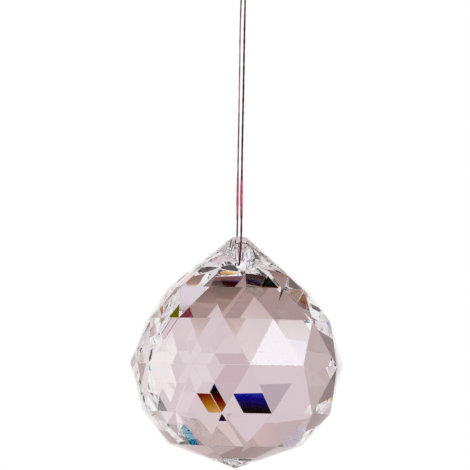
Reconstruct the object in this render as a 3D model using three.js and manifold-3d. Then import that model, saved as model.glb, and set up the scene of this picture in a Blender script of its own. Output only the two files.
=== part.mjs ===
// A cut-crystal ball prism hung on a doubled thread, as used for a suncatcher.
//
// Units are millimetres and +Z is up. The origin is the hanging point: the inside of
// the small thread eye, where a hook bears. Everything hangs below it, and the ball's
// axis is the Z axis. The thread's hole runs along Y, and -Y is the front.
//
// Three pieces: the faceted crystal, the thread that passes through its hole, and the
// knot that joins the thread's two runs, with the eye and the two cut ends above it.

import * as THREE from 'three';
import { mergeVertices, toCreasedNormals } from 'three/addons/utils/BufferGeometryUtils.js';
import Module from 'manifold-3d';

const wasm = await Module();
wasm.setup();

// ---------------------------------------------------------------- driving dimensions

// The ball: five rings of corners, each ring turned half a facet from the next, as
// fractions of the ball's radius.
const BALL_RADIUS = 20;
const FACETS_ROUND = 12;
const DROP_TO_BALL_CENTRE = 79;      // from the hanging point down to the ball's centre
const RINGS = [
  { radius: 0.6575, height: 0.705, turned: false },
  { radius: 0.8692, height: 0.416, turned: true },
  { radius: 1.0, height: 0.0, turned: false },
  { radius: 0.8849, height: -0.436, turned: true },
  { radius: 0.6356, height: -0.741, turned: false },
];
const TIP_HEIGHT = -0.966;           // the point at the bottom
const CROWN_MEETING_HEIGHT = 1.2475; // where the twelve crown facets would meet
const BACK_DROP = 1.0;               // how low the back's corners were ground, in mm

// The nub: the fire-polished end of the blank that the crown facets run into. Each
// entry is a radius and a height above the ball's centre, from the widest to the top.
const NUB_PROFILE = [
  [7.2, 19.1],
  [5.55, 20.38],
  [4.66, 21.0],
  [3.9, 21.68],
  [3.2, 22.3],
  [2.62, 22.88],
  [2.18, 23.3],
  [1.72, 23.62],
  [1.28, 23.81],
  [0.85, 23.87],
];
const NUB_SEGMENTS = 72;
const BLANK_RADIUS = 24;             // the blank is wider than the ball below the nub
const BLANK_SLOPE = 0.3;             // and falls this much per millimetre outward there

// The pressed hollow on each side of the nub, and the hole that joins the two. Seen
// along Y a hollow is a drop shape, square at the top and drawn in below.
const HOLLOW_TURN = 3;               // degrees round from the facets, as it was pressed
const HOLLOW_FLOOR_HEIGHT = 17.0;
const HOLLOW_WIDEST_HEIGHT = 20.7;
const HOLLOW_TOP_HEIGHT = 22.75;
const HOLLOW_HALF_WIDTH = 1.95;      // where its rounded inner end stops
const HOLLOW_MOUTH_HALF_WIDTH = 2.3;
const HOLLOW_MOUTH_RISE = 1.5;       // how much higher its top is out at the mouth
const HOLLOW_INNER_DEPTH = 1.35;     // from the axis to the deepest point of the end
const HOLLOW_END_BULGE = 1.45;       // how far the rounded end reaches along Y
const HOLLOW_MOUTH_DEPTH = 11;       // from the axis to beyond the crown's surface
const HOLLOW_TOP_SQUARENESS = 2.6;   // 2 is an ellipse, more is squarer
const HOLLOW_FLOOR_SQUARENESS = 1.8;
const HOLLOW_OUTLINE_POINTS = 36;
const HOLLOW_END_STEPS = 7;
const HOLE_RADIUS = 1.0;
const HOLE_HEIGHT = 18.3;
const HOLE_SEGMENTS = 32;

// The thread, and the route of its centre line: down the front, through the hole and
// up the back.
const THREAD_DIAMETER = 0.4;
const THREAD_SIDES = 8;
const THREAD_STEPS = 80;
const THREAD_ROUTE = [
  [0.3, -0.12, -10.0],
  [0.24, -0.5, -16.0],
  [0.15, -0.98, -24.0],
  [0.06, -1.46, -32.0],
  [-0.02, -1.95, -40.0],
  [-0.11, -2.43, -48.0],
  [-0.17, -2.79, -54.0],
  [-0.2, -2.98, -56.2],
  [-0.2, -2.76, -57.6],
  [-0.2, -2.4, -58.9],
  [-0.2, -2.1, -59.8],
  [-0.2, -1.6, -60.3],
  [-0.2, -0.9, -60.4],
  [-0.2, 0.0, -60.4],
  [-0.2, 0.9, -60.4],
  [-0.2, 1.6, -60.3],
  [-0.2, 2.1, -59.8],
  [-0.2, 2.4, -58.9],
  [-0.2, 2.76, -57.6],
  [-0.2, 2.98, -56.2],
  [-0.21, 2.79, -54.0],
  [-0.24, 2.43, -48.0],
  [-0.28, 1.95, -40.0],
  [-0.31, 1.46, -32.0],
  [-0.35, 0.98, -24.0],
  [-0.39, 0.5, -16.0],
  [-0.42, 0.12, -10.0],
];

// The knot: turns of the thread packed round its two runs, with the eye above them.
const KNOT_TURNS = 4;
const KNOT_TURN_PITCH = 0.62;
const KNOT_CORE_RADIUS = 0.62;
const KNOT_BULGE = 0.34;             // how far the middle turns stand out past the ends
const KNOT_BOTTOM = -9.7;
const KNOT_SEGMENTS = 24;
const EYE_HALF_WIDTH = 1.9;
const EYE_STEPS = 36;
const TAIL_LENGTH = 3.6;
const TAIL_SPREAD = 1.5;
const TAIL_STEPS = 6;

// Edges sharper than this many degrees stay crisp, and the nub's are smoothed over.
const CREASE_ANGLE = 10;

// ------------------------------------------------------------------------- materials

const crystalMaterial = new THREE.MeshStandardMaterial({
  color: 0xd9c8cd,
  roughness: 0.02,
  metalness: 0,
  transparent: true,
  opacity: 0.4,
});
const threadMaterial = new THREE.MeshStandardMaterial({
  color: 0x8c5a62,
  roughness: 0.75,
  metalness: 0,
});

// ---------------------------------------------------------------- geometry and solids

// A closed mesh from rings of corners, one after another, with a corner at each end.
function ringedGeometry(start, rings, end) {
  const around = rings[0].length;
  const corners = [start, ...rings.flat(), end];
  const last = corners.length - 1;
  const triangles = [];
  const corner = (ring, k) => 1 + ring * around + (k % around);
  for (let k = 0; k < around; k += 1) {
    triangles.push(0, corner(0, k), corner(0, k + 1));
    triangles.push(last, corner(rings.length - 1, k + 1), corner(rings.length - 1, k));
  }
  for (let ring = 0; ring < rings.length - 1; ring += 1) {
    for (let k = 0; k < around; k += 1) {
      const [a, b] = [corner(ring, k), corner(ring, k + 1)];
      const [c, d] = [corner(ring + 1, k), corner(ring + 1, k + 1)];
      triangles.push(a, c, b, b, c, d);
    }
  }
  const geometry = new THREE.BufferGeometry();
  const positions = corners.flatMap((point) => point.toArray());
  geometry.setAttribute('position', new THREE.Float32BufferAttribute(positions, 3));
  geometry.setIndex(triangles);
  return geometry;
}

// A solid to join or cut, from a closed geometry, turned the right way out.
function solidOf(geometry) {
  const bare = geometry.clone();
  bare.deleteAttribute('normal');
  bare.deleteAttribute('uv');
  const merged = mergeVertices(bare, 1e-5);
  const vertProperties = new Float32Array(merged.attributes.position.array);
  const triVerts = new Uint32Array(merged.index.array);
  if (signedVolume(vertProperties, triVerts) < 0) {
    for (let i = 0; i < triVerts.length; i += 3) {
      [triVerts[i], triVerts[i + 1]] = [triVerts[i + 1], triVerts[i]];
    }
  }
  return new wasm.Manifold(new wasm.Mesh({ numProp: 3, vertProperties, triVerts }));
}

function signedVolume(positions, triangles) {
  const corner = (i) => new THREE.Vector3().fromArray(positions, 3 * triangles[i]);
  let volume = 0;
  for (let i = 0; i < triangles.length; i += 3) {
    volume += corner(i).dot(corner(i + 1).cross(corner(i + 2))) / 6;
  }
  return volume;
}

function geometryOf(solid) {
  const mesh = solid.getMesh();
  const geometry = new THREE.BufferGeometry();
  const positions = Array.from(mesh.vertProperties);
  geometry.setAttribute('position', new THREE.Float32BufferAttribute(positions, 3));
  geometry.setIndex(Array.from(mesh.triVerts));
  return toCreasedNormals(geometry, THREE.MathUtils.degToRad(CREASE_ANGLE));
}

function circleShape(radius, sides) {
  const corners = Array.from({ length: sides }, (_, k) => {
    const angle = (2 * Math.PI * k) / sides;
    return new THREE.Vector2(radius * Math.cos(angle), radius * Math.sin(angle));
  });
  return new THREE.Shape(corners);
}

// A round tube along a smooth curve through the given points, with flat ends.
function tubeGeometry(points, diameter, steps) {
  const extrudePath = new THREE.CatmullRomCurve3(points, false, 'centripetal');
  const shape = circleShape(diameter / 2, THREAD_SIDES);
  return new THREE.ExtrudeGeometry(shape, { steps, extrudePath, bevelEnabled: false });
}

// A solid of revolution about Z from [radius, height] pairs that end on the axis.
function turnedGeometry(profile, segments) {
  const points = profile.map(([radius, height]) => new THREE.Vector2(radius, height));
  return new THREE.LatheGeometry(points, segments).rotateX(Math.PI / 2);
}

// --------------------------------------------------------------------------- crystal

// The twelve crown facets, four bands of twenty-four and twelve more to the tip. The
// back was ground a little low, by an amount that grows from nothing at the sides.
function facetedBall() {
  const step = (2 * Math.PI) / FACETS_ROUND;
  const rings = RINGS.map(({ radius, height, turned }) =>
    Array.from({ length: FACETS_ROUND }, (_, k) => {
      const angle = step * (k + (turned ? 0.5 : 0));
      const drop = BACK_DROP * Math.max(0, -Math.cos(angle));
      return new THREE.Vector3(
        BALL_RADIUS * radius * Math.sin(angle),
        -BALL_RADIUS * radius * Math.cos(angle),
        BALL_RADIUS * height - drop,
      );
    }),
  );
  // Every second ring starts one corner later, which keeps the triangles upright.
  const aligned = rings.map((ring, i) =>
    ring.map((_, k) => ring[(k + Math.floor(i / 2)) % FACETS_ROUND]),
  );
  const top = new THREE.Vector3(0, 0, BALL_RADIUS * CROWN_MEETING_HEIGHT);
  const tip = new THREE.Vector3(0, 0, BALL_RADIUS * TIP_HEIGHT);
  return solidOf(ringedGeometry(top, aligned, tip));
}

// The pressed blank: wide below, drawn in to the nub. The facets are ground into it.
function blank() {
  const [widestRadius, widestHeight] = NUB_PROFILE[0];
  const [, topHeight] = NUB_PROFILE[NUB_PROFILE.length - 1];
  const profile = [
    [0, -BLANK_RADIUS],
    [BLANK_RADIUS, -BLANK_RADIUS],
    [BLANK_RADIUS, widestHeight - BLANK_SLOPE * (BLANK_RADIUS - widestRadius)],
    ...NUB_PROFILE,
    [0, topHeight],
  ];
  return solidOf(turnedGeometry(profile, NUB_SEGMENTS));
}

// One outline of the hollow, in a plane across Y: the share of the full drop shape,
// with its top raised.
function hollowOutline(y, halfWidth, share, rise) {
  return Array.from({ length: HOLLOW_OUTLINE_POINTS }, (_, k) => {
    const angle = (2 * Math.PI * k) / HOLLOW_OUTLINE_POINTS;
    const [across, up] = [Math.sin(angle), Math.cos(angle)];
    const power = 2 / (up > 0 ? HOLLOW_TOP_SQUARENESS : HOLLOW_FLOOR_SQUARENESS);
    const reach = up > 0
      ? HOLLOW_TOP_HEIGHT + rise - HOLLOW_WIDEST_HEIGHT
      : HOLLOW_WIDEST_HEIGHT - HOLLOW_FLOOR_HEIGHT;
    return new THREE.Vector3(
      share * halfWidth * Math.sign(across) * Math.abs(across) ** power,
      y,
      HOLLOW_WIDEST_HEIGHT + share * reach * Math.sign(up) * Math.abs(up) ** power,
    );
  });
}

// The hollow pressed into one side: a rounded inner end that widens to the mouth.
function hollow(side) {
  const sections = [];
  for (let i = 1; i <= HOLLOW_END_STEPS; i += 1) {
    const angle = (Math.PI / 2) * (i / HOLLOW_END_STEPS);
    const y = HOLLOW_INNER_DEPTH + HOLLOW_END_BULGE * (1 - Math.cos(angle));
    sections.push(hollowOutline(side * y, HOLLOW_HALF_WIDTH, Math.sin(angle), 0));
  }
  const mouth = side * HOLLOW_MOUTH_DEPTH;
  sections.push(hollowOutline(mouth, HOLLOW_MOUTH_HALF_WIDTH, 1, HOLLOW_MOUTH_RISE));
  const inner = new THREE.Vector3(0, side * HOLLOW_INNER_DEPTH, HOLLOW_WIDEST_HEIGHT);
  const outer = new THREE.Vector3(0, mouth, HOLLOW_WIDEST_HEIGHT);
  const geometry = ringedGeometry(inner, sections, outer);
  return solidOf(geometry.rotateZ(THREE.MathUtils.degToRad(HOLLOW_TURN)));
}

function hole() {
  const length = 2 * (HOLLOW_INNER_DEPTH + HOLLOW_END_BULGE + HOLE_RADIUS);
  const geometry = new THREE.CylinderGeometry(HOLE_RADIUS, HOLE_RADIUS, length, HOLE_SEGMENTS);
  geometry.translate(0, 0, HOLE_HEIGHT);
  return solidOf(geometry.rotateZ(THREE.MathUtils.degToRad(HOLLOW_TURN)));
}

function crystalMesh() {
  const solid = facetedBall()
    .intersect(blank())
    .subtract(hollow(-1))
    .subtract(hollow(1))
    .subtract(hole());
  const mesh = new THREE.Mesh(geometryOf(solid), crystalMaterial);
  mesh.name = 'crystal_ball';
  mesh.position.z = -DROP_TO_BALL_CENTRE;
  return mesh;
}

// ---------------------------------------------------------------------------- thread

function threadMesh() {
  const points = THREAD_ROUTE.map((point) => new THREE.Vector3(...point));
  const mesh = new THREE.Mesh(
    tubeGeometry(points, THREAD_DIAMETER, THREAD_STEPS), threadMaterial,
  );
  mesh.name = 'hanging_thread';
  return mesh;
}

// The barrel of the knot: one rounded ring of the outline for each turn of thread.
function knotBarrel() {
  const profile = [[0, KNOT_BOTTOM]];
  const pointsPerTurn = 5;
  for (let turn = 0; turn < KNOT_TURNS; turn += 1) {
    for (let i = 0; i < pointsPerTurn; i += 1) {
      const along = (turn + i / (pointsPerTurn - 1)) / KNOT_TURNS;
      const round = Math.sin((Math.PI * i) / (pointsPerTurn - 1));
      const stand = KNOT_BULGE * Math.sin(Math.PI * along);
      if (i > 0 || turn === 0) {
        profile.push([
          KNOT_CORE_RADIUS + stand + 0.5 * THREAD_DIAMETER * round,
          KNOT_BOTTOM + along * KNOT_TURNS * KNOT_TURN_PITCH,
        ]);
      }
    }
  }
  profile.push([0, KNOT_BOTTOM + KNOT_TURNS * KNOT_TURN_PITCH]);
  return solidOf(turnedGeometry(profile, KNOT_SEGMENTS));
}

// The eye above the knot: a narrow loop whose inside touches the hanging point.
function eye() {
  const root = KNOT_BOTTOM + (KNOT_TURNS - 1) * KNOT_TURN_PITCH;
  const crown = THREAD_DIAMETER / 2;
  const height = crown - root;
  const points = [
    [0.25, 0],
    [0.32, 0.22],
    [0.85, 0.42],
    [1.55, 0.6],
    [EYE_HALF_WIDTH, 0.76],
    [1.5, 0.92],
    [0.75, 0.985],
  ].map(([x, share]) => new THREE.Vector3(x, 0, root + share * height));
  const mirrored = points.map((point) => new THREE.Vector3(-point.x, point.y, point.z));
  const loop = [...points, new THREE.Vector3(0, 0, crown), ...mirrored.reverse()];
  return solidOf(tubeGeometry(loop, THREAD_DIAMETER, EYE_STEPS));
}

// One of the two cut ends that stand out of the knot's top.
function tail(side) {
  const root = KNOT_BOTTOM + (KNOT_TURNS - 1) * KNOT_TURN_PITCH;
  const points = [0, 0.4, 0.7, 1].map((share) => new THREE.Vector3(
    side * 0.1 * share,
    side * (0.35 + TAIL_SPREAD * share ** 1.5),
    root + TAIL_LENGTH * share,
  ));
  return solidOf(tubeGeometry(points, THREAD_DIAMETER, TAIL_STEPS));
}

function knotMesh() {
  const solid = knotBarrel().add(eye()).add(tail(-1)).add(tail(1));
  const mesh = new THREE.Mesh(geometryOf(solid), threadMaterial);
  mesh.name = 'thread_knot';
  return mesh;
}

// -------------------------------------------------------------------------- assembly

const suncatcher = new THREE.Group();
suncatcher.add(crystalMesh(), threadMesh(), knotMesh());

export default suncatcher;
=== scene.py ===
"""A cut-crystal ball prism on a doubled thread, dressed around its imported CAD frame.

Everything is in metres in the CAD frame: +Z is up, and the origin is the hanging point,
inside the thread's eye. The ball's axis is the Z axis and -Y is the front.
"""

import math
from typing import NamedTuple

import bmesh
import bpy
import numpy as np
from mathutils import Matrix, Vector


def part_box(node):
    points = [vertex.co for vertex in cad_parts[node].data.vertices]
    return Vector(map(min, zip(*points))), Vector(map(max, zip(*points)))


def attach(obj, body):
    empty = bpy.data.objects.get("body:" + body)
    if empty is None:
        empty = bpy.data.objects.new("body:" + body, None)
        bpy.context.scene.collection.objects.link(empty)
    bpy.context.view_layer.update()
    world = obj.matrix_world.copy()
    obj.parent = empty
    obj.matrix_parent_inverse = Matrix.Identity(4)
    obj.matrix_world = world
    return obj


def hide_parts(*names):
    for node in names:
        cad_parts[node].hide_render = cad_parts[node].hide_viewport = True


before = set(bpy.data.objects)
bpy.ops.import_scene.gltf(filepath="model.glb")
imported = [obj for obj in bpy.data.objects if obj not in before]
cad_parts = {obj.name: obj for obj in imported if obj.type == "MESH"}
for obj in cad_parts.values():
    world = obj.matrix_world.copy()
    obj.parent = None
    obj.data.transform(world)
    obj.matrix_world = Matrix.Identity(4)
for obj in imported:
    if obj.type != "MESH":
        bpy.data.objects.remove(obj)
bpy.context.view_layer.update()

MM = 0.001

# The ball's middle is level with its widest ring, half the ball's width above the
# tip's height share.
CRYSTAL_LOW, CRYSTAL_HIGH = (Vector(corner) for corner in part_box("crystal_ball"))
BALL_RADIUS = (CRYSTAL_HIGH.x - CRYSTAL_LOW.x) / 2
TIP_SHARE = 0.966
BALL_CENTRE = Vector((0, 0, CRYSTAL_LOW.z + TIP_SHARE * BALL_RADIUS))


# ------------------------------------------------------------------------------ camera

CAMERA_DISTANCE = 22.085 * BALL_RADIUS
CAMERA_TURN = math.radians(6.676)     # to the left of the ball's front ridge
CAMERA_ROLL = math.radians(1.148)
CAMERA_PITCH = math.radians(3.144)    # above the ball's middle
CAMERA_YAW = math.radians(0.049)
SENSOR_WIDTH = 36
LENS = 180.85
CLIP_START = 0.01


def make_camera():
    """The camera, level with the ball's middle and turned a little from its front ridge."""
    forward = Vector((math.sin(CAMERA_TURN), math.cos(CAMERA_TURN), 0))
    right = Vector((math.cos(CAMERA_TURN), -math.sin(CAMERA_TURN), 0))
    up = Vector((0, 0, 1))
    place = BALL_CENTRE - CAMERA_DISTANCE * forward
    rolled_right = math.cos(CAMERA_ROLL) * right + math.sin(CAMERA_ROLL) * up
    rolled_up = math.cos(CAMERA_ROLL) * up - math.sin(CAMERA_ROLL) * right
    sight = forward + math.tan(CAMERA_PITCH) * rolled_up - math.tan(CAMERA_YAW) * rolled_right
    sight.normalize()
    side = sight.cross(rolled_up).normalized()
    above = side.cross(sight)
    data = bpy.data.cameras.new("camera")
    data.sensor_width = SENSOR_WIDTH
    data.lens = LENS
    data.clip_start = CLIP_START
    camera = bpy.data.objects.new("camera", data)
    camera.matrix_world = Matrix((
        (side.x, above.x, -sight.x, place.x),
        (side.y, above.y, -sight.y, place.y),
        (side.z, above.z, -sight.z, place.z),
        (0, 0, 0, 1),
    ))
    bpy.context.scene.collection.objects.link(camera)
    bpy.context.scene.camera = camera


make_camera()

# ------------------------------------------------------------------------------ thread

THREAD_DIAMETER = 0.4 * MM
# The thread's route, close to the CAD's: down the front, through the hole, up the back.
THREAD_ROUTE = [
    Vector(point) * MM
    for point in (
        (0.16, -0.12, -10.0),
        (0.1, -0.5, -16.0),
        (0.06, -0.98, -24.0),
        (0.01, -1.46, -32.0),
        (-0.05, -1.95, -40.0),
        (-0.04, -2.43, -48.0),
        (-0.02, -2.79, -54.0),
        (-0.04, -2.98, -56.2),
        (-0.08, -2.76, -57.6),
        (-0.12, -2.4, -58.9),
        (-0.16, -2.1, -59.8),
        (-0.18, -1.6, -60.3),
        (-0.2, -0.9, -60.4),
        (-0.2, 0.0, -60.4),
        (-0.2, 0.9, -60.4),
        (-0.2, 1.6, -60.3),
        (-0.18, 2.1, -59.8),
        (-0.15, 2.4, -58.9),
        (-0.13, 2.76, -57.6),
        (-0.12, 2.98, -56.2),
        (-0.13, 2.79, -54.0),
        (-0.21, 2.43, -48.0),
        (-0.33, 1.95, -40.0),
        (-0.4, 1.46, -32.0),
        (-0.49, 0.98, -24.0),
        (-0.6, 0.5, -16.0),
        (-0.58, 0.12, -10.0),
    )
]


LINE_STEP = 0.1 * MM
CURVE_FINENESS = 0.25             # a curve's first, uneven steps as a share of its spacing
CURVE_LEAST_STEPS = 4


def smooth_line(points, spacing=LINE_STEP):
    """Evenly spaced points on the centripetal Catmull-Rom curve through the points."""
    ends = [2 * points[0] - points[1], *points, 2 * points[-1] - points[-2]]
    fine = []
    for p0, p1, p2, p3 in zip(ends, ends[1:], ends[2:], ends[3:]):
        t1 = (p1 - p0).length ** 0.5
        t2 = t1 + (p2 - p1).length ** 0.5
        t3 = t2 + (p3 - p2).length ** 0.5
        steps = max(CURVE_LEAST_STEPS, round((p2 - p1).length / (CURVE_FINENESS * spacing)))
        for i in range(steps):
            t = t1 + (t2 - t1) * i / steps
            a1 = p0.lerp(p1, t / t1)
            a2 = p1.lerp(p2, (t - t1) / (t2 - t1))
            a3 = p2.lerp(p3, (t - t2) / (t3 - t2))
            b1 = a1.lerp(a2, t / t2)
            b2 = a2.lerp(a3, (t - t1) / (t3 - t1))
            fine.append(b1.lerp(b2, (t - t1) / (t2 - t1)))
    fine.append(points[-1])
    along = lengths_along(fine)
    count = max(2, round(along[-1] / spacing) + 1)
    wanted = np.linspace(0, along[-1], count)
    array = np.array([tuple(p) for p in fine])
    spaced = [np.interp(wanted, along, array[:, k]) for k in range(3)]
    return [Vector(row) for row in zip(*spaced)]


def lengths_along(line):
    """How far each point of a line is from its start, along the line."""
    return np.concatenate([[0], np.cumsum([(b - a).length for a, b in zip(line, line[1:])])])


def frames_along(line):
    """A steady pair of crosswise directions at each point of a line."""
    tangents = [(b - a).normalized() for a, b in zip([line[0], *line], [*line[1:], line[-1]])]
    tangents[0] = (line[1] - line[0]).normalized()
    side = tangents[0].orthogonal().normalized()
    frames = []
    for tangent in tangents:
        side = (side - side.dot(tangent) * tangent).normalized()
        frames.append((side, tangent.cross(side)))
    return frames


def outward(angle, side, other):
    """The direction at an angle between two crosswise ones."""
    return math.cos(angle) * side + math.sin(angle) * other


def add_tube(mesh, line, radius, sides):
    """Adds a closed round tube along a line, of one radius or of one for each point."""
    rings = []
    radii = radius if isinstance(radius, list) else [radius] * len(line)
    for point, (side, other), thick in zip(line, frames_along(line), radii):
        rings.append([
            mesh.verts.new(point + thick * outward(2 * math.pi * k / sides, side, other))
            for k in range(sides)
        ])
    for one, two in zip(rings, rings[1:]):
        for k in range(sides):
            n = (k + 1) % sides
            mesh.faces.new((one[k], one[n], two[n], two[k]))
    mesh.faces.new(rings[0][::-1])
    mesh.faces.new(rings[-1])


PLIES = 3
PLY_SIDES = 6
PLY_PITCH = 1.15 * MM
PLY_SHARE = 0.52                  # a ply's thickness, as a share of the thread's


def add_plies(mesh, line, diameter=THREAD_DIAMETER, fullness=lambda point: 1):
    """Adds the twisted plies of a thread that follows a line, fuller in some places."""
    ply = PLY_SHARE * diameter / 2
    orbit = diameter / 2 - ply
    full = [fullness(point) for point in line]
    along = lengths_along(line)
    for k in range(PLIES):
        turned = []
        for point, (side, other), far, share in zip(line, frames_along(line), along, full):
            angle = 2 * math.pi * (far / PLY_PITCH + k / PLIES)
            turned.append(point + share * orbit * outward(angle, side, other))
        add_tube(mesh, turned, [share * ply for share in full], PLY_SIDES)


def finished(name, mesh, smooth=True):
    """A Blender object in the scene from a bmesh."""
    mesh.normal_update()
    data = bpy.data.meshes.new(name)
    mesh.to_mesh(data)
    mesh.free()
    data.shade_smooth() if smooth else data.shade_flat()
    piece = bpy.data.objects.new(name, data)
    bpy.context.scene.collection.objects.link(piece)
    return piece


FLUFF_HIGHLIGHT_HEIGHT = -47.7 * MM         # the middle of the stretch that's fluffed out and painted pinker, partly as a highlight
FLUFF_HIGHLIGHT_REACH = 4.0 * MM
FLUFFED_FULLNESS = 0.6
FLUFFED_SQUARENESS = 0.45
BACK_FULLNESS_LOW = 0.92          # the run behind is pulled thinner, more so at the top
BACK_FULLNESS_HIGH = 0.7
BACK_CHANGE = 1.2 * MM            # from the front run's thickness to the back's
THREAD_FOOT = -56 * MM
THREAD_TOP = -10 * MM
SLUBS = 0.10                      # how uneven the thread's thickness is
SLUB_WAVES = ((0.6, 2.3, 0), (0.4, 5.1, 1))    # share, radians in a millimetre, start
BACK_SLUB_SHIFT = 11              # millimetres


def thread_fullness(point):
    """The thread's thickness at a point, as a share of its usual one."""
    behind = min(1, max(0, 0.5 + point.y / BACK_CHANGE))
    fluffed = max(0, 1 - abs(point.z - FLUFF_HIGHLIGHT_HEIGHT) / FLUFF_HIGHLIGHT_REACH) ** FLUFFED_SQUARENESS
    up = min(1, max(0, (point.z - THREAD_FOOT) / (THREAD_TOP - THREAD_FOOT)))
    back = BACK_FULLNESS_LOW + (BACK_FULLNESS_HIGH - BACK_FULLNESS_LOW) * up
    thinned = 1 + (back - 1) * behind
    height = point.z / MM + (BACK_SLUB_SHIFT if point.y > 0 else 0)
    slub = sum(share * math.sin(pace * height + start) for share, pace, start in SLUB_WAVES)
    return thinned * (1 + FLUFFED_FULLNESS * fluffed + SLUBS * slub)


# The knot above the two runs: two strands wound round them, with an eye and two cut
# ends, all as in the CAD.
KNOT_TURNS = 4
KNOT_PITCH = 0.62 * MM
KNOT_CORE = 0.62 * MM
KNOT_BULGE = 0.34 * MM
KNOT_BOTTOM = -9.7 * MM
KNOT_STRANDS = 2
KNOT_STRAND_DIAMETER = 0.36 * MM
KNOT_STEPS_PER_TURN = 40
KNOT_TUCK = 0.35                  # turns over which each end is tucked in
KNOT_TUCKED_SHARE = 0.45          # an end's radius, as a share of the turns'
RUN_ENTRY = 1.0 * MM              # how far the runs go up past the thread's ends
RUN_OVERLAP = 0.25 * MM
# One side of the eye, from the knot up: millimetres across and shares of its height.
EYE_SIDE = (
    (0.25, 0), (0.32, 0.22), (0.85, 0.42), (1.55, 0.6), (1.9, 0.76), (1.5, 0.92), (0.75, 0.985),
)
TAIL_LENGTH = 3.6 * MM
TAIL_FOOT = 0.35 * MM
TAIL_SPREAD = 1.5 * MM
TAIL_CURVE = 1.5
TAIL_LEAN = 0.1 * MM
TAIL_SHARES = (0, 0.4, 0.7, 1)
FRAY_FIBRES = 9
FRAY_LENGTH = 0.5 * MM
FRAY_UNEVENNESS = 0.35
FRAY_WAVES = 5
FRAY_ROOT = 0.3 * MM              # how far back inside the end the fibres start
FRAY_ORBIT = 0.35 * THREAD_DIAMETER
FRAY_SPREAD = 0.16 * MM
FRAY_BEND = (0.35, 0.4)           # shares of the reach and of the spread at a fibre's middle
FIBRE_RADIUS = 0.025 * MM
FIBRE_SIDES = 5
FIBRE_STEP = 0.08 * MM


def knot_winding(start):
    """The centre line of one strand wound round the core, tucked in at both ends."""
    line = []
    steps = KNOT_TURNS * KNOT_STEPS_PER_TURN
    wound_height = KNOT_TURNS * KNOT_PITCH - KNOT_STRAND_DIAMETER
    for i in range(steps + 1):
        along = i / steps
        turns = along * KNOT_TURNS
        tucked = min(1, turns / KNOT_TUCK, (KNOT_TURNS - turns) / KNOT_TUCK)
        drawn_in = (1 - KNOT_TUCKED_SHARE) * math.sin(math.pi / 2 * tucked)
        bulge = KNOT_BULGE * math.sin(math.pi * along)
        radius = (KNOT_CORE + bulge) * (KNOT_TUCKED_SHARE + drawn_in)
        angle = 2 * math.pi * (turns + start)
        height = 0.5 * KNOT_STRAND_DIAMETER + along * wound_height
        line.append(Vector((
            radius * math.sin(angle), -radius * math.cos(angle), KNOT_BOTTOM + height,
        )))
    return line


def eye_line(root):
    """The eye's centre line, whose crown's inside is the hanging point."""
    crown = THREAD_DIAMETER / 2
    side = [Vector((x * MM, 0, root + share * (crown - root))) for x, share in EYE_SIDE]
    other = [Vector((-point.x, 0, point.z)) for point in reversed(side)]
    return smooth_line([*side, Vector((0, 0, crown)), *other])


def tail_line(root, side):
    """The centre line of one of the two cut ends."""
    return smooth_line([
        Vector((
            side * TAIL_LEAN * share,
            side * (TAIL_FOOT + TAIL_SPREAD * share**TAIL_CURVE),
            root + TAIL_LENGTH * share,
        ))
        for share in TAIL_SHARES
    ])


def run_top(end, before):
    """The last of a run of the thread, which goes up into the knot."""
    upward = (end - before).normalized()
    return smooth_line([
        end - RUN_OVERLAP * upward,
        end + 0.5 * RUN_ENTRY * upward,
        end + RUN_ENTRY * upward,
    ])


def add_fray(mesh, line):
    """Adds the loose fibres at a cut end."""
    tip = line[-1]
    ahead = (line[-1] - line[-2]).normalized()
    side, other = frames_along(line)[-1]
    bend_reach, bend_spread = FRAY_BEND
    for k in range(FRAY_FIBRES):
        angle = 2 * math.pi * k / FRAY_FIBRES
        out = outward(angle, side, other)
        reach = FRAY_LENGTH * (1 - FRAY_UNEVENNESS * (1 - math.cos(FRAY_WAVES * angle)))
        fibre = smooth_line([
            tip - FRAY_ROOT * ahead + FRAY_ORBIT * out,
            tip + bend_reach * reach * ahead + (FRAY_ORBIT + bend_spread * FRAY_SPREAD) * out,
            tip + reach * ahead + (FRAY_ORBIT + FRAY_SPREAD) * out,
        ], FIBRE_STEP)
        add_tube(mesh, fibre, FIBRE_RADIUS, FIBRE_SIDES)


def make_knot():
    """The knot with its eye, its two cut ends and the tops of the two runs."""
    mesh = bmesh.new()
    for k in range(KNOT_STRANDS):
        add_plies(mesh, knot_winding(k / KNOT_STRANDS), KNOT_STRAND_DIAMETER)
    root = KNOT_BOTTOM + (KNOT_TURNS - 1) * KNOT_PITCH
    add_plies(mesh, eye_line(root))
    for side in (-1, 1):
        line = tail_line(root, side)
        add_plies(mesh, line)
        add_fray(mesh, line)
    for end, before in (THREAD_ROUTE[:2], THREAD_ROUTE[:-3:-1]):
        add_plies(mesh, run_top(end, before), fullness=thread_fullness)
    piece = finished("tied_knot", mesh)
    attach(piece, "root")
    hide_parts("thread_knot")
    return piece


def make_thread():
    """The doubled thread from knot to knot, a limp cord held taut."""
    line = smooth_line(THREAD_ROUTE)
    mesh = bmesh.new()
    add_plies(mesh, line, fullness=thread_fullness)
    piece = finished("doubled_thread", mesh)
    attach(piece, "root")
    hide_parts("hanging_thread")
    return piece


knot = make_knot()
thread = make_thread()

# -------------------------------------------------------------------- crystal geometry

FACETS_ROUND = 12
# Rings of corners from the crown down, as shares of the ball's radius.
RINGS = (
    (0.6575, 0.705, False),       # radius, height, turned half a facet
    (0.8692, 0.416, True),
    (1.0, 0.0, False),
    (0.8849, -0.436, True),
    (0.6356, -0.741, False),
)
CROWN_MEETING_SHARE = 1.2475
BACK_DROP = 1.0 * MM              # how low the back's corners were ground
EDGE_WEAR = 0.06 * MM             # each side of a facet's edge

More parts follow.
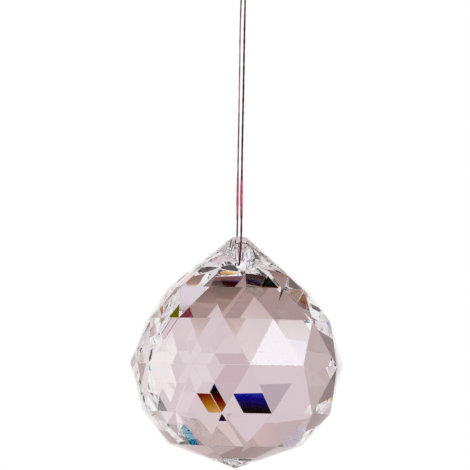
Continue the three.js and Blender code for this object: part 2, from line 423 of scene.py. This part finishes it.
# The nub's outline: radius and height above the ball's middle.
NUB_PROFILE = [
    Vector((radius, 0, height)) * MM
    for radius, height in (
        (7.2, 19.1),
        (5.55, 20.38),
        (4.66, 21.0),
        (3.9, 21.68),
        (3.2, 22.3),
        (2.62, 22.88),
        (2.18, 23.3),
        (1.72, 23.62),
        (1.28, 23.81),
        (0.85, 23.87),
        (0.4, 23.88),
    )
]
NUB_STEP = 0.08 * MM
NUB_SEGMENTS = 144
BLANK_RADIUS = 24 * MM
BLANK_SLOPE = 0.3

# The pressed hollow on each side of the nub, and the hole that joins the two.
HOLLOW_TURN = math.radians(3)
HOLLOW_FLOOR = 17.0 * MM
HOLLOW_WIDEST = 20.7 * MM
HOLLOW_TOP = 22.75 * MM
HOLLOW_HALF_WIDTH = 1.95 * MM
HOLLOW_MOUTH_HALF_WIDTH = 2.3 * MM
HOLLOW_MOUTH_RISE = 1.5 * MM
HOLLOW_INNER_DEPTH = 1.35 * MM
HOLLOW_END_BULGE = 1.45 * MM
HOLLOW_MOUTH_DEPTH = 11 * MM
HOLLOW_TOP_SQUARENESS = 2.6
HOLLOW_FLOOR_SQUARENESS = 1.8
HOLLOW_OUTLINE_POINTS = 96
HOLLOW_END_STEPS = 18
HOLLOW_WALL_STEP = 0.07 * MM
RIM_ROUNDING = 0.3 * MM
HOLE_RADIUS = 1.0 * MM
HOLE_HEIGHT = 18.3 * MM
HOLE_SEGMENTS = 64
SHARP_ANGLE = math.radians(7)

# A face is on a hollow's rim when it's between these depths under the nub's surface,
# isn't parallel to that surface and isn't part of a large flat facet.
RIM_SKIN = 0.012 * MM
RIM_BAND = 0.5 * MM
RIM_MARGIN = 2 * RIM_ROUNDING
RIM_MOST_OUTWARD = 0.93
RIM_FACET_AREA = 1.2 * MM**2


def close_rings(mesh, rings, start, end):
    """Faces between rings of corners, drawn together to a corner at each end."""
    rings = [[mesh.verts.new(corner) for corner in ring] for ring in rings]
    start, end = mesh.verts.new(start), mesh.verts.new(end)
    around = len(rings[0])
    for k in range(around):
        n = (k + 1) % around
        mesh.faces.new((start, rings[0][k], rings[0][n]))
        mesh.faces.new((end, rings[-1][n], rings[-1][k]))
        for one, two in zip(rings, rings[1:]):
            mesh.faces.new((one[k], two[k], one[n]))
            mesh.faces.new((one[n], two[k], two[n]))
    bmesh.ops.recalc_face_normals(mesh, faces=mesh.faces)


def faceted_ball():
    """The ground facets, with every edge worn a little flat."""
    mesh = bmesh.new()
    step = 2 * math.pi / FACETS_ROUND
    rings = []
    for row, (radius, height, turned) in enumerate(RINGS):
        ring = []
        for k in range(FACETS_ROUND):
            angle = step * (k + row // 2 + (0.5 if turned else 0))
            across, behind = math.sin(angle), -math.cos(angle)
            corner = BALL_RADIUS * Vector((radius * across, radius * behind, height))
            corner.z -= BACK_DROP * max(0, behind)
            ring.append(corner)
        rings.append(ring)
    top = Vector((0, 0, CROWN_MEETING_SHARE * BALL_RADIUS))
    tip = Vector((0, 0, -TIP_SHARE * BALL_RADIUS))
    close_rings(mesh, rings, top, tip)
    bmesh.ops.bevel(mesh, geom=mesh.edges[:], offset=EDGE_WEAR, segments=1, affect="EDGES")
    return mesh


def nub_line():
    """The nub's outline as a fine smooth line."""
    return smooth_line(NUB_PROFILE, NUB_STEP)


def nub_radii():
    """A function that gives the blank's radius at a height above the ball's middle."""
    line = nub_line()
    heights = [point.z for point in line]
    radii = [point.x for point in line]
    return lambda height: float(np.interp(height, heights, radii, left=BLANK_RADIUS, right=0))


def blank():
    """The pressed blank, a turned solid that is wide below and drawn in to the nub."""
    widest = NUB_PROFILE[0]
    shoulder = widest.z - BLANK_SLOPE * (BLANK_RADIUS - widest.x)
    line = [
        Vector((BLANK_RADIUS, 0, -BLANK_RADIUS)),
        Vector((BLANK_RADIUS, 0, shoulder)),
        *nub_line(),
    ]
    rings = [
        [
            Vector((point.x * math.sin(angle), -point.x * math.cos(angle), point.z))
            for angle in (2 * math.pi * k / NUB_SEGMENTS for k in range(NUB_SEGMENTS))
        ]
        for point in line
    ]
    mesh = bmesh.new()
    close_rings(mesh, rings, Vector((0, 0, line[0].z)), Vector((0, 0, line[-1].z)))
    return mesh


def hollow_outline(half_width, share, rise):
    """Points across and up of the drop-shaped outline, at a share of its full size."""
    points = []
    for k in range(HOLLOW_OUTLINE_POINTS):
        angle = 2 * math.pi * k / HOLLOW_OUTLINE_POINTS
        across, up = math.sin(angle), math.cos(angle)
        power = 2 / (HOLLOW_TOP_SQUARENESS if up > 0 else HOLLOW_FLOOR_SQUARENESS)
        reach = HOLLOW_TOP + rise - HOLLOW_WIDEST if up > 0 else HOLLOW_WIDEST - HOLLOW_FLOOR
        points.append(Vector((
            share * half_width * math.copysign(abs(across) ** power, across),
            HOLLOW_WIDEST + share * reach * math.copysign(abs(up) ** power, up),
        )))
    return points


def rim_growth(depth, surface):
    """How far the rounded rim stands out of the hollow's wall near the nub's surface."""
    inside = surface - depth
    if inside >= RIM_ROUNDING:
        return 0
    if inside <= 0:
        return RIM_ROUNDING - inside
    return RIM_ROUNDING - math.sqrt(RIM_ROUNDING**2 - (RIM_ROUNDING - inside) ** 2)


def hollow(side):
    """The space pressed into one side: a rounded inner end, a wall and a rounded rim."""
    radius_at = nub_radii()
    end_depth = HOLLOW_INNER_DEPTH + HOLLOW_END_BULGE
    rings = []
    for i in range(1, HOLLOW_END_STEPS + 1):
        angle = math.pi / 2 * i / HOLLOW_END_STEPS
        depth = HOLLOW_INNER_DEPTH + HOLLOW_END_BULGE * (1 - math.cos(angle))
        rings.append((depth, hollow_outline(HOLLOW_HALF_WIDTH, math.sin(angle), 0)))
    steps = round((HOLLOW_MOUTH_DEPTH - end_depth) / HOLLOW_WALL_STEP)
    for i in range(1, steps + 1):
        out = i / steps
        depth = end_depth + (HOLLOW_MOUTH_DEPTH - end_depth) * out
        width = HOLLOW_HALF_WIDTH + (HOLLOW_MOUTH_HALF_WIDTH - HOLLOW_HALF_WIDTH) * out
        rings.append((depth, hollow_outline(width, 1, HOLLOW_MOUTH_RISE * out)))
    middle = Vector((0, HOLLOW_WIDEST))
    corners = []
    for depth, outline in rings:
        ring = []
        for point in outline:
            surface = math.sqrt(max(0, radius_at(point.y) ** 2 - point.x**2))
            grown = point + rim_growth(depth, surface) * (point - middle).normalized()
            ring.append(Vector((grown.x, side * depth, grown.y)))
        corners.append(ring)
    mesh = bmesh.new()
    close_rings(
        mesh, corners,
        Vector((0, side * HOLLOW_INNER_DEPTH, HOLLOW_WIDEST)),
        Vector((0, side * HOLLOW_MOUTH_DEPTH, HOLLOW_WIDEST)),
    )
    bmesh.ops.rotate(mesh, verts=mesh.verts, matrix=Matrix.Rotation(HOLLOW_TURN, 3, "Z"))
    return mesh


def hole():
    """The straight hole that joins the two hollows."""
    mesh = bmesh.new()
    length = 2 * (HOLLOW_INNER_DEPTH + HOLLOW_END_BULGE + HOLE_RADIUS)
    bmesh.ops.create_cone(
        mesh, segments=HOLE_SEGMENTS, radius1=HOLE_RADIUS, radius2=HOLE_RADIUS, depth=length,
        cap_ends=True,
        matrix=Matrix.Translation((0, 0, HOLE_HEIGHT)) @ Matrix.Rotation(HOLLOW_TURN, 4, "Z")
        @ Matrix.Rotation(math.pi / 2, 4, "X"),
    )
    return mesh


def cut(piece, mesh, operation):
    """Joins or cuts a piece with another mesh, which is then removed."""
    tool = finished("tool", mesh)
    modifier = piece.modifiers.new("cut", "BOOLEAN")
    modifier.operation = operation
    modifier.solver = "MANIFOLD"
    modifier.object = tool
    graph = bpy.context.evaluated_depsgraph_get()
    cut_mesh = bpy.data.meshes.new_from_object(piece.evaluated_get(graph))
    piece.modifiers.clear()
    piece.data = cut_mesh
    bpy.data.objects.remove(tool)


def find_rims(faces):
    """Whether each face, in the ball's own frame, is on the rounded rim of a hollow."""
    radius_at = nub_radii()
    upright = Matrix.Rotation(-HOLLOW_TURN, 3, "Z")

    def direction(face):
        return tuple(round(share, 2) for share in face.normal)

    facet_areas = {}
    for face in faces:
        facet_areas[direction(face)] = facet_areas.get(direction(face), 0) + face.area
    rims = []
    for face in faces:
        place = upright @ face.center
        surface = math.sqrt(max(0, radius_at(place.z) ** 2 - place.x**2))
        radial = Vector((face.center.x, face.center.y, 0)).normalized()
        rims.append(
            place.z > HOLLOW_FLOOR - RIM_MARGIN
            and abs(place.x) < HOLLOW_MOUTH_HALF_WIDTH + RIM_MARGIN
            and RIM_SKIN < surface - abs(place.y) < RIM_BAND
            and abs(face.normal.dot(radial)) < RIM_MOST_OUTWARD
            and facet_areas[direction(face)] < RIM_FACET_AREA
        )
    return rims


def make_crystal():
    """The crystal, and which of its faces are on the hollows' rims."""
    piece = finished("crystal_prism", faceted_ball())
    cut(piece, blank(), "INTERSECT")
    cut(piece, hollow(-1), "DIFFERENCE")
    cut(piece, hollow(1), "DIFFERENCE")
    cut(piece, hole(), "DIFFERENCE")
    rims = find_rims(piece.data.polygons)
    piece.data.transform(Matrix.Translation(BALL_CENTRE))
    piece.data.shade_smooth()
    piece.data.set_sharp_from_angle(angle=SHARP_ANGLE)
    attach(piece, "root")
    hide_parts("crystal_ball")
    return piece, rims


crystal, crystal_rims = make_crystal()

# --------------------------------------------------------------------------- materials


class NodeMath:
    """Nodes of one node tree, called like functions."""

    def __init__(self, tree):
        self.nodes, self.links = tree.nodes, tree.links

    def __call__(self, operation, *values):
        node = self.nodes.new("ShaderNodeMath")
        node.operation = operation
        self.feed(node.inputs, values)
        return node.outputs[0]

    def feed(self, sockets, values):
        for socket, value in zip(sockets, values):
            if isinstance(value, bpy.types.NodeSocket):
                self.links.new(value, socket)
            else:
                socket.default_value = value

    def dot(self, one, other):
        node = self.nodes.new("ShaderNodeVectorMath")
        node.operation = "DOT_PRODUCT"
        self.feed(node.inputs, (one, other))
        return node.outputs["Value"]

    def ramp(self, value, start, end):
        """0 before the start and 1 past the end, with a soft change between."""
        node = self.nodes.new("ShaderNodeMapRange")
        node.interpolation_type = "SMOOTHSTEP"
        self.feed(node.inputs, (value, start, end, 0.0, 1.0))
        return node.outputs[0]

    def mix(self, share, one, other):
        node = self.nodes.new("ShaderNodeMix")
        sockets = (node.inputs["Factor"], node.inputs["A"], node.inputs["B"])
        self.feed(sockets, (share, one, other))
        return node.outputs[0]

    def colour(self, channels):
        node = self.nodes.new("ShaderNodeCombineColor")
        self.feed(node.inputs, channels)
        return node.outputs[0]

    def blend(self, share, one, other):
        """A mixture of two colours."""
        node = self.nodes.new("ShaderNodeMix")
        node.data_type = "RGBA"
        colours = [socket for socket in node.inputs if socket.type == "RGBA"]
        self.feed((node.inputs["Factor"], *colours), (share, one, other))
        return next(socket for socket in node.outputs if socket.type == "RGBA")

    def noise(self, place, scale, detail, stretch):
        """Noise whose patches are drawn out along Z where the stretch is below 1."""
        mapping = self.nodes.new("ShaderNodeMapping")
        mapping.inputs["Scale"].default_value = (1, 1, stretch)
        self.links.new(place, mapping.inputs["Vector"])
        node = self.nodes.new("ShaderNodeTexNoise")
        node.inputs["Scale"].default_value = scale
        node.inputs["Detail"].default_value = detail
        self.links.new(mapping.outputs[0], node.inputs["Vector"])
        return node.outputs["Fac"]


def node_material(name):
    """A new material with an empty node tree."""
    material = bpy.data.materials.new(name)
    material.use_nodes = True
    material.node_tree.nodes.clear()
    return material, material.node_tree.nodes, material.node_tree.links


CRYSTAL_IOR = 1.534
CLEAR = (1, 1, 1, 1)
# The rounding of the pressed rims is tinted darker than the rest: painted shade for the dark
# lines that the rims bend light into.
RIM_PAINTED_SHADE = (0.30, 0.27, 0.28, 1)


def crystal_material(name, colour):
    """Polished lead glass, clear or tinted darker as painted shade."""
    material, nodes, links = node_material(name)
    out = nodes.new("ShaderNodeOutputMaterial")
    glass = nodes.new("ShaderNodeBsdfGlass")
    glass.inputs["IOR"].default_value = CRYSTAL_IOR
    glass.inputs["Roughness"].default_value = 0
    glass.inputs["Color"].default_value = colour
    links.new(glass.outputs[0], out.inputs["Surface"])
    return material


THREAD_DARK = (0.03, 0.004, 0.008, 1)
THREAD_MAUVE = (0.15, 0.05, 0.075, 1)
THREAD_PALE = (0.36, 0.24, 0.27, 1)
THREAD_HIGHLIGHT_PINK = (0.72, 0.17, 0.24, 1)
THREAD_ROUGHNESS = 0.8
THREAD_SHINE = 0.15
FIBRE_BUMP = 0.6
FIBRE_BUMP_HEIGHT = 0.02 * MM


class Patches(NamedTuple):
    """A noise on the thread, the levels where it sets in and is full, and its strength."""

    scale: float
    detail: float
    stretch: float
    start: float
    end: float
    strength: float


DYE = Patches(260, 3, 0.5, 0.42, 0.7, 0.6)
SIDE_HIGHLIGHT = Patches(420, 2, 1, 0.3, 0.6, 0.8)
PALENESS = Patches(200, 2, 1, 0.4, 0.65, 0.5)
BLOTCHES = Patches(900, 2, 1, 0.35, 0.6, 0.5)
FIBRES = Patches(9000, 2, 0.15, 0.6, 0.8, 0.5)
LEAST_PALENESS = 0.35
LEAST_BLOTCHES = 0.5

# A painted pink highlight on the side of each run that's turned to +X: share of the normal
# along X.
HIGHLIGHT_SIDE = (0.45, 0.95)
# The run behind, and how its wear grows with height from a least share.
BEHIND = (-0.1 * MM, 0.5 * MM)
WORN = (-50 * MM, -24 * MM)
LEAST_WORN, MORE_WORN = 0.4, 0.6
# The pink round the fluffed stretch is partly the fluff's blotches and partly a painted
# highlight, stronger on the +X side of each run.
FLUFF_HIGHLIGHT_SIDE = (-0.7, 0.5)
LEAST_FLUFF_HIGHLIGHT, MORE_FLUFF_HIGHLIGHT = 0.25, 0.75
FLUFF_FULL_SHARE = 0.55


def thread_material():
    """Dyed cotton: uneven dye along it, fibres across it and shade between the plies, with a
    painted pink highlight on each run's +X side and round the fluffed stretch.
    """
    material, nodes, links = node_material("twisted_thread")
    calc = NodeMath(material.node_tree)
    place = nodes.new("ShaderNodeTexCoord").outputs["Object"]
    split = nodes.new("ShaderNodeSeparateXYZ")
    links.new(place, split.inputs[0])
    _, depth, height = split.outputs
    facing = nodes.new("ShaderNodeNewGeometry")
    sides = nodes.new("ShaderNodeSeparateXYZ")
    links.new(facing.outputs["Normal"], sides.inputs[0])
    sideways = sides.outputs["X"]

    def noise(kind):
        return calc.noise(place, kind.scale, kind.detail, kind.stretch)

    def patches(kind):
        return calc.ramp(noise(kind), kind.start, kind.end)

    dyed = calc("MULTIPLY", patches(DYE), DYE.strength)
    colour = calc.blend(dyed, THREAD_DARK, THREAD_MAUVE)

    # Painted pink highlight, in patches, on the side of each run turned to +X.
    side_highlight = calc("MULTIPLY", calc.ramp(sideways, *HIGHLIGHT_SIDE), patches(SIDE_HIGHLIGHT))
    colour = calc.blend(calc("MULTIPLY", side_highlight, SIDE_HIGHLIGHT.strength), colour, THREAD_HIGHLIGHT_PINK)

    patchy = calc("MULTIPLY_ADD", patches(PALENESS), PALENESS.strength, LEAST_PALENESS)
    worn = calc("MULTIPLY_ADD", calc.ramp(height, *WORN), MORE_WORN, LEAST_WORN)
    paler = calc("MULTIPLY", calc("MULTIPLY", calc.ramp(depth, *BEHIND), patchy), worn)
    colour = calc.blend(paler, colour, THREAD_PALE)

    # Round the fluffed stretch: pink fluff blotches, painted stronger on the +X side of each
    # run as a highlight.
    away = calc("ABSOLUTE", calc("SUBTRACT", height, FLUFF_HIGHLIGHT_HEIGHT))
    outside = calc.ramp(away, FLUFF_FULL_SHARE * FLUFF_HIGHLIGHT_REACH, FLUFF_HIGHLIGHT_REACH)
    blotches = calc("MULTIPLY_ADD", patches(BLOTCHES), BLOTCHES.strength, LEAST_BLOTCHES)
    hanging = calc("MULTIPLY_ADD", calc.ramp(sideways, *FLUFF_HIGHLIGHT_SIDE), MORE_FLUFF_HIGHLIGHT, LEAST_FLUFF_HIGHLIGHT)
    fluffed = calc("MULTIPLY", calc("SUBTRACT", 1.0, outside), blotches)
    colour = calc.blend(calc("MULTIPLY", fluffed, hanging), colour, THREAD_HIGHLIGHT_PINK)

    fibres = noise(FIBRES)
    pale_fibres = calc("MULTIPLY", calc.ramp(fibres, FIBRES.start, FIBRES.end), FIBRES.strength)
    colour = calc.blend(pale_fibres, colour, THREAD_PALE)
    bump = nodes.new("ShaderNodeBump")
    bump.inputs["Strength"].default_value = FIBRE_BUMP
    bump.inputs["Distance"].default_value = FIBRE_BUMP_HEIGHT
    links.new(fibres, bump.inputs["Height"])
    shader = nodes.new("ShaderNodeBsdfPrincipled")
    shader.inputs["Roughness"].default_value = THREAD_ROUGHNESS
    shader.inputs["Specular IOR Level"].default_value = THREAD_SHINE
    links.new(colour, shader.inputs["Base Color"])
    links.new(bump.outputs[0], shader.inputs["Normal"])
    out = nodes.new("ShaderNodeOutputMaterial")
    links.new(shader.outputs[0], out.inputs["Surface"])
    return material


thread_look = thread_material()
for piece in (thread, knot):
    piece.data.materials.append(thread_look)
crystal.data.materials.clear()
crystal.data.materials.append(crystal_material("lead_crystal", CLEAR))
crystal.data.materials.append(crystal_material("rim_painted_shade", RIM_PAINTED_SHADE))
# The rim faces take the darker glass: painted shade along the hollows' rims.
for face, rim in zip(crystal.data.polygons, crystal_rims):
    face.material_index = int(rim)

# ------------------------------------------------------------------------ light, floor

# The studio around the ornament is a pale mauve room with soft-edged panels of light
# and shade. A panel's middle is given by its turn to the right of straight behind the
# ball and its rise above level, both in degrees, and so are its half width, its half
# height, the softness of its edge and its tilt. A level below zero takes away the pale
# light that also reaches the same facet by reflection inside the crystal. There are 42
# panels in all; with 45 the shader was too large and Cycles drew the crystal black.
MAUVE = (0.71, 0.595, 0.63)
ALL_ROUND = 200
HALF_TURN = 180.0
# Light that hasn't gone through the crystal has been reflected by its outside.
ANY_PASSAGE = 0.5
# After many turns inside the crystal, the lamps and the dark between them count most.
MANY_TURNS = 5.5
SPARKLE = (0.98, 0.95, 0.97)
# What is seen after more turns than this is a plain mixture.
MOST_TURNS = 12
MIXTURE = (0.80, 0.75, 0.77)
# The plain soft light that falls on the thread and the floor.
STUDIO_LIGHT = (0.95, 0.93, 0.94)
WHITE = (1, 1, 1, 1)
# How much further from straight ahead red, green and blue light come from. The crystal
# bends blue light more than red, so each edge in the room is seen with a coloured fringe.
COLOUR_SPREAD = (-0.017, 0.0, 0.021)


class Panel(NamedTuple):
    """A panel of the studio, with its colour's three levels."""

    name: str
    turn: float
    rise: float
    wide: float
    high: float
    soft: float
    tilt: float
    colour: tuple


ROOM = (
    Panel("dim middle", -1, 4.5, 5, 9, 2.5, 0, (0.60, 0.455, 0.50)),
    Panel("dim patch", -16.5, 11.5, 4, 3, 1.5, 0, (0.49, 0.39, 0.44)),
    Panel("light patch", 16, -1, 4, 4, 2, 0, (0.78, 0.68, 0.71)),
    Panel("bright side", 44, -1, 13, 21, 6, 0, (0.93, 0.85, 0.87)),
    Panel("far right", 75, 0, 14, 60, 5, 0, (0.42, 0.34, 0.36)),
    Panel("far left", -75, 0, 33, 60, 14, 0, (0.28, 0.215, 0.22)),
    Panel("shade below", 0, -74, 80, 45, 5, -8, (0.40, 0.275, 0.27)),
    Panel("shade behind", 180, -74, 100, 46, 5, 0, (0.40, 0.275, 0.27)),
    Panel("deep shade below", 0, -74, ALL_ROUND, 31, 5, 0, (0.27, 0.175, 0.155)),
    Panel("half shade above", 0, 76, ALL_ROUND, 45.4, 1.5, 0, (0.56, 0.44, 0.455)),
    Panel("shade above", 0, 76, ALL_ROUND, 35, 3, 0, (0.37, 0.27, 0.28)),
    Panel("ceiling light", 0, 90, ALL_ROUND, 28, 3, 0, (0.72, 0.68, 0.70)),
    Panel("floor light", 0, -90, ALL_ROUND, 17, 2, 0, (0.85, 0.82, 0.86)),
    Panel("floor glow", 20, -71, 8, 3, 1, 0, (0.75, 0.78, 0.90)),
    Panel("left floor edge", -22, -48, 11, 7.8, 0.6, 0, (-0.08, -0.062, -0.066)),
    Panel("right floor edge", 30, -55, 8, 7, 0.6, 0, (-0.06, -0.055, -0.05)),
    Panel("left of the rail", -6, 15.13, 6.5, 0.84, 0.45, -2, (-0.026, -0.027, -0.029)),
    Panel("right of the rail", 6.5, 16.24, 5.5, 0.80, 0.55, 9, (-0.028, -0.026, -0.028)),
    Panel("crimson cloth", 40, -31.5, 6, 4.5, 0.6, 0, (0.06, -0.105, -0.09)),
    Panel("grey shelf", 47, 30.5, 4.5, 4, 1, 0, (0.24, 0.20, 0.21)),
    Panel("olive cloth", 28, -33.5, 5, 3.5, 0.6, 0, (0.11, 0.075, -0.06)),
    Panel("teal glow", 40.5, 48.3, 3.5, 1.8, 0.6, 0, (-0.12, 0.15, 0.34)),
    Panel("blue dusk", -53, 41.5, 8, 2.5, 1, 0, (0.45, 0.39, 0.50)),
    Panel("dark shelf", 29, 50, 6, 3, 1, 0, (0.15, 0.055, 0.045)),
    Panel("pale rug", 152, -31, 5, 9, 1.5, 0, (0.80, 0.72, 0.80)),
    Panel("brass stand", -171, -26, 3, 3.5, 1, 0, (0.30, 0.18, 0.075)),
    Panel("rust lamp", -149.5, -8, 3, 5.5, 1, 0, (0.20, 0.05, 0.012)),
    Panel("grey stool", -148.5, -21, 2.5, 3, 1, 0, (0.16, 0.13, 0.13)),
    Panel("dark chair", 172, -31, 13.5, 10, 1, 0, (-0.018, -0.034, -0.036)),
    Panel("maroon cushion", 164.8, -36.6, 8, 2, 0.5, -63.4, (0.18, 0.055, 0.05)),
    Panel("dark lintel", 175, 46.5, 5, 3, 1, 0, (0.07, 0.04, 0.03)),
    Panel("white door", -174, 11, 4, 4, 1, 0, (1.0, 0.98, 0.95)),
    Panel("peach lamp", -140, 57, 6, 4, 1, 0, (0.80, 0.48, 0.38)),
)

# What is seen after many turns, laid over SPARKLE: the darkest parts and coloured gels.
CONTRASTS = (
    Panel("night above", 0, 76, ALL_ROUND, 27, 2, 0, (0.08, 0.045, 0.04)),
    Panel("night below", 0, -76, ALL_ROUND, 30, 2, 0, (0.06, 0.035, 0.035)),
    Panel("night on the left", -95, 0, 28, 60, 2, 0, (0.04, 0.03, 0.03)),
    Panel("night behind", 146, 0, 24, 60, 2, 0, (0.05, 0.03, 0.03)),
    Panel("cyan gel", 62, 20, 12, 15, 2, 0, (0.16, 0.62, 0.86)),
    Panel("blue gel", 20, -38, 9, 7, 2, 0, (0.10, 0.16, 0.62)),
    Panel("amber gel", -45, -22, 10, 13, 2, 0, (0.88, 0.52, 0.20)),
)

# What the outside of the facets reflects: a dark room with the backdrop and a softbox.
DARKNESS = (0.05, 0.035, 0.035)
REFLECTED = (
    Panel("backdrop", 0, 0, 30, 30, 12, 0, (1.0, 0.98, 0.99)),
    Panel("softbox", 127, 27, 35, 15, 10, 0, (5.4, 6.4, 6.5)),
)


def within(calc, offset, edge, soft):
    """1 where an offset is smaller than the edge and 0 where it's larger."""
    return calc.ramp(calc("ABSOLUTE", offset), edge + soft, edge - soft)


def painted(calc, turn, rise, base, panels):
    """The level seen in a direction, from the base and the panels laid over it."""
    level = base
    for panel, value in panels:
        across = calc("WRAP", calc("SUBTRACT", turn, panel.turn), HALF_TURN, -HALF_TURN)
        above = calc("SUBTRACT", rise, panel.rise)
        if panel.tilt:
            tilt = math.radians(panel.tilt)
            cosine, sine = math.cos(tilt), math.sin(tilt)
            across, above = (
                calc("MULTIPLY_ADD", across, cosine, calc("MULTIPLY", above, sine)),
                calc("MULTIPLY_ADD", above, cosine, calc("MULTIPLY", across, -sine)),
            )
        share = within(calc, above, panel.high, panel.soft)
        if panel.wide < ALL_ROUND:
            share = calc("MULTIPLY", share, within(calc, across, panel.wide, panel.soft))
        level = calc.mix(share, level, value)
    return level


def make_world():
    """White straight on, as behind the ornament, and the studio's panels all round."""
    world = bpy.data.worlds.new("studio")
    world.use_nodes = True
    tree = world.node_tree
    tree.nodes.clear()
    calc = NodeMath(tree)
    direction = tree.nodes.new("ShaderNodeTexCoord").outputs["Generated"]
    ahead = calc.dot(direction, (math.sin(CAMERA_TURN), math.cos(CAMERA_TURN), 0))
    right = calc.dot(direction, (math.cos(CAMERA_TURN), -math.sin(CAMERA_TURN), 0))
    up = calc.dot(direction, (0, 0, 1))
    turn = calc("ARCTAN2", right, ahead)
    rise = calc("ARCSINE", up)
    light_path = tree.nodes.new("ShaderNodeLightPath")
    outside = calc("LESS_THAN", light_path.outputs["Transmission Depth"], ANY_PASSAGE)
    lost = calc("GREATER_THAN", light_path.outputs["Ray Depth"], MOST_TURNS)
    many = calc("GREATER_THAN", light_path.outputs["Ray Depth"], MANY_TURNS)
    diffuse = light_path.outputs["Is Diffuse Ray"]
    channels = []
    for channel, spread in enumerate(COLOUR_SPREAD):
        bent_turn, bent_rise = (
            calc("DEGREES", calc("MULTIPLY_ADD", calc("SINE", angle), spread, angle))
            for angle in (turn, rise)
        )
        through, sparkle, reflected = (
            painted(
                calc, bent_turn, bent_rise, base[channel],
                [(panel, panel.colour[channel]) for panel in panels],
            )
            for base, panels in ((MAUVE, ROOM), (SPARKLE, CONTRASTS), (DARKNESS, REFLECTED))
        )
        inside = calc.mix(lost, calc.mix(many, through, sparkle), MIXTURE[channel])
        seen = calc.mix(outside, inside, reflected)
        channels.append(calc.mix(diffuse, seen, STUDIO_LIGHT[channel]))
    colour = calc.colour(channels)
    studio = tree.nodes.new("ShaderNodeBackground")
    tree.links.new(colour, studio.inputs["Color"])
    backdrop = tree.nodes.new("ShaderNodeBackground")
    backdrop.inputs["Color"].default_value = WHITE
    choose = tree.nodes.new("ShaderNodeMixShader")
    out = tree.nodes.new("ShaderNodeOutputWorld")
    tree.links.new(light_path.outputs["Is Camera Ray"], choose.inputs[0])
    tree.links.new(studio.outputs[0], choose.inputs[1])
    tree.links.new(backdrop.outputs[0], choose.inputs[2])
    tree.links.new(choose.outputs[0], out.inputs["Surface"])
    bpy.context.scene.world = world


FLOOR_HEIGHT = -0.3
FLOOR_RADIUS = 1.5
FLOOR_SIDES = 96
FLOOR_COLOUR = (0.86, 0.85, 0.85, 1)
FLOOR_ROUGHNESS = 0.8
LIGHT_BOUNCES = 64


def make_floor():
    """A plain pale floor far below, which the crystal doesn't show."""
    mesh = bmesh.new()
    bmesh.ops.create_circle(mesh, cap_ends=True, segments=FLOOR_SIDES, radius=FLOOR_RADIUS)
    floor = finished("studio_floor", mesh, smooth=False)
    floor.location.z = FLOOR_HEIGHT
    material, nodes, links = node_material("pale_floor")
    shader = nodes.new("ShaderNodeBsdfPrincipled")
    shader.inputs["Base Color"].default_value = FLOOR_COLOUR
    shader.inputs["Roughness"].default_value = FLOOR_ROUGHNESS
    out = nodes.new("ShaderNodeOutputMaterial")
    links.new(shader.outputs[0], out.inputs["Surface"])
    floor.data.materials.append(material)
    floor.visible_transmission = False
    floor.visible_glossy = False


make_world()
make_floor()
bpy.context.scene.view_settings.view_transform = "Standard"
bpy.context.scene.cycles.max_bounces = LIGHT_BOUNCES
bpy.context.scene.cycles.transmission_bounces = LIGHT_BOUNCES
bpy.context.scene.cycles.glossy_bounces = LIGHT_BOUNCES
